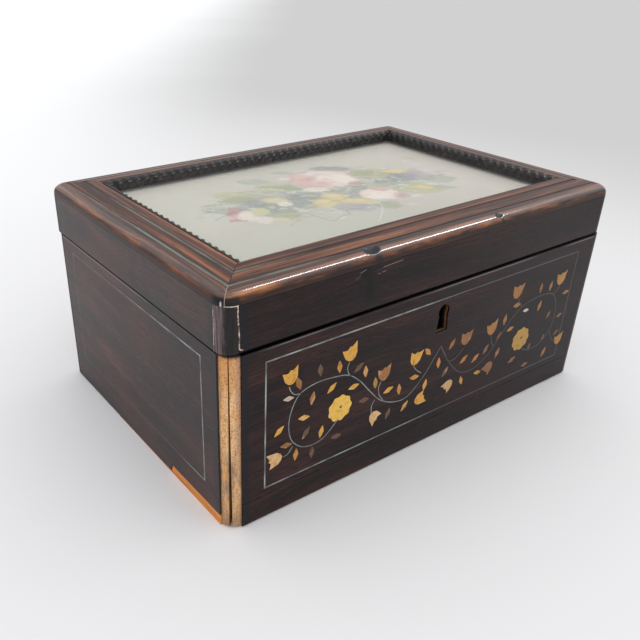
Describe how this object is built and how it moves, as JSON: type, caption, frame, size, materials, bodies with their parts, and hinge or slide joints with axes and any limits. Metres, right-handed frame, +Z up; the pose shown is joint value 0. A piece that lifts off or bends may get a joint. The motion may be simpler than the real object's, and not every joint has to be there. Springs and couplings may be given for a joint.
{
  "type": "rosewood veneer box",
  "caption": "Rectangular rosewood-veneered keepsake box with a lock, rounded corners and a hinged lid whose moulded frame holds a glazed painted picture.",
  "frame": {"origin": "middle of the underside", "axes": "+X to the right along the front, +Y from the front to the back, +Z up"},
  "size_m": [0.255, 0.1787, 0.122],
  "materials": {
    "carcass_softwood": "bare sawn softwood, glue stained",
    "rosewood_veneer": "polished dark veneer with fine grain",
    "rosewood_moulding": "polished, redder, with dark streaks",
    "ebonised_wood": "black, satin",
    "picture_glass": "clear, glossy",
    "painted_card": "matt painted flowers",
    "brass_fittings": "dulled"
  },
  "bodies": {
    "case": {"front_board": "carcass_softwood", "right_board": "carcass_softwood", "back_board": "carcass_softwood", "left_board": "carcass_softwood", "bottom_board": "carcass_softwood", "front_veneer": "rosewood_veneer", "front_foot_veneer": "rosewood_veneer", "right_veneer": "rosewood_veneer", "back_veneer": "rosewood_veneer", "left_veneer": "rosewood_veneer", "left_foot_lipping": "carcass_softwood", "corner_veneer_front_right": "rosewood_veneer", "corner_veneer_back_right": "rosewood_veneer", "corner_veneer_back_left": "rosewood_veneer", "lock": "brass_fittings", "hinge_left_lower": "brass_fittings", "hinge_left_pin": "brass_fittings", "hinge_right_lower": "brass_fittings", "hinge_right_pin": "brass_fittings"},
    "lid": {"lid_front_board": "carcass_softwood", "lid_right_board": "carcass_softwood", "lid_back_board": "carcass_softwood", "lid_left_board": "carcass_softwood", "lid_board": "carcass_softwood", "lid_front_veneer": "rosewood_veneer", "lid_right_veneer": "rosewood_veneer", "lid_back_veneer": "rosewood_veneer", "lid_left_veneer": "rosewood_veneer", "lid_corner_front_left": "rosewood_veneer", "lid_corner_front_right": "rosewood_veneer", "lid_corner_back_left": "rosewood_veneer", "lid_corner_back_right": "rosewood_veneer", "lid_front_moulding": "rosewood_moulding", "lid_right_moulding": "rosewood_moulding", "lid_back_moulding": "rosewood_moulding", "lid_left_moulding": "rosewood_moulding", "ripple_back": "ebonised_wood", "ripple_left": "ebonised_wood", "ripple_right": "ebonised_wood", "glass": "picture_glass", "picture": "painted_card", "lock_link": "brass_fittings", "hinge_left_upper": "brass_fittings", "hinge_right_upper": "brass_fittings"}
  },
  "joints": [
    {"name": "lid_hinge", "type": "hinge", "parent": "case", "child": "lid", "pos_m": [0, 0.0886, 0.0924], "axis": [-1, 0, 0], "range_deg": [0, 95]}
  ]
}
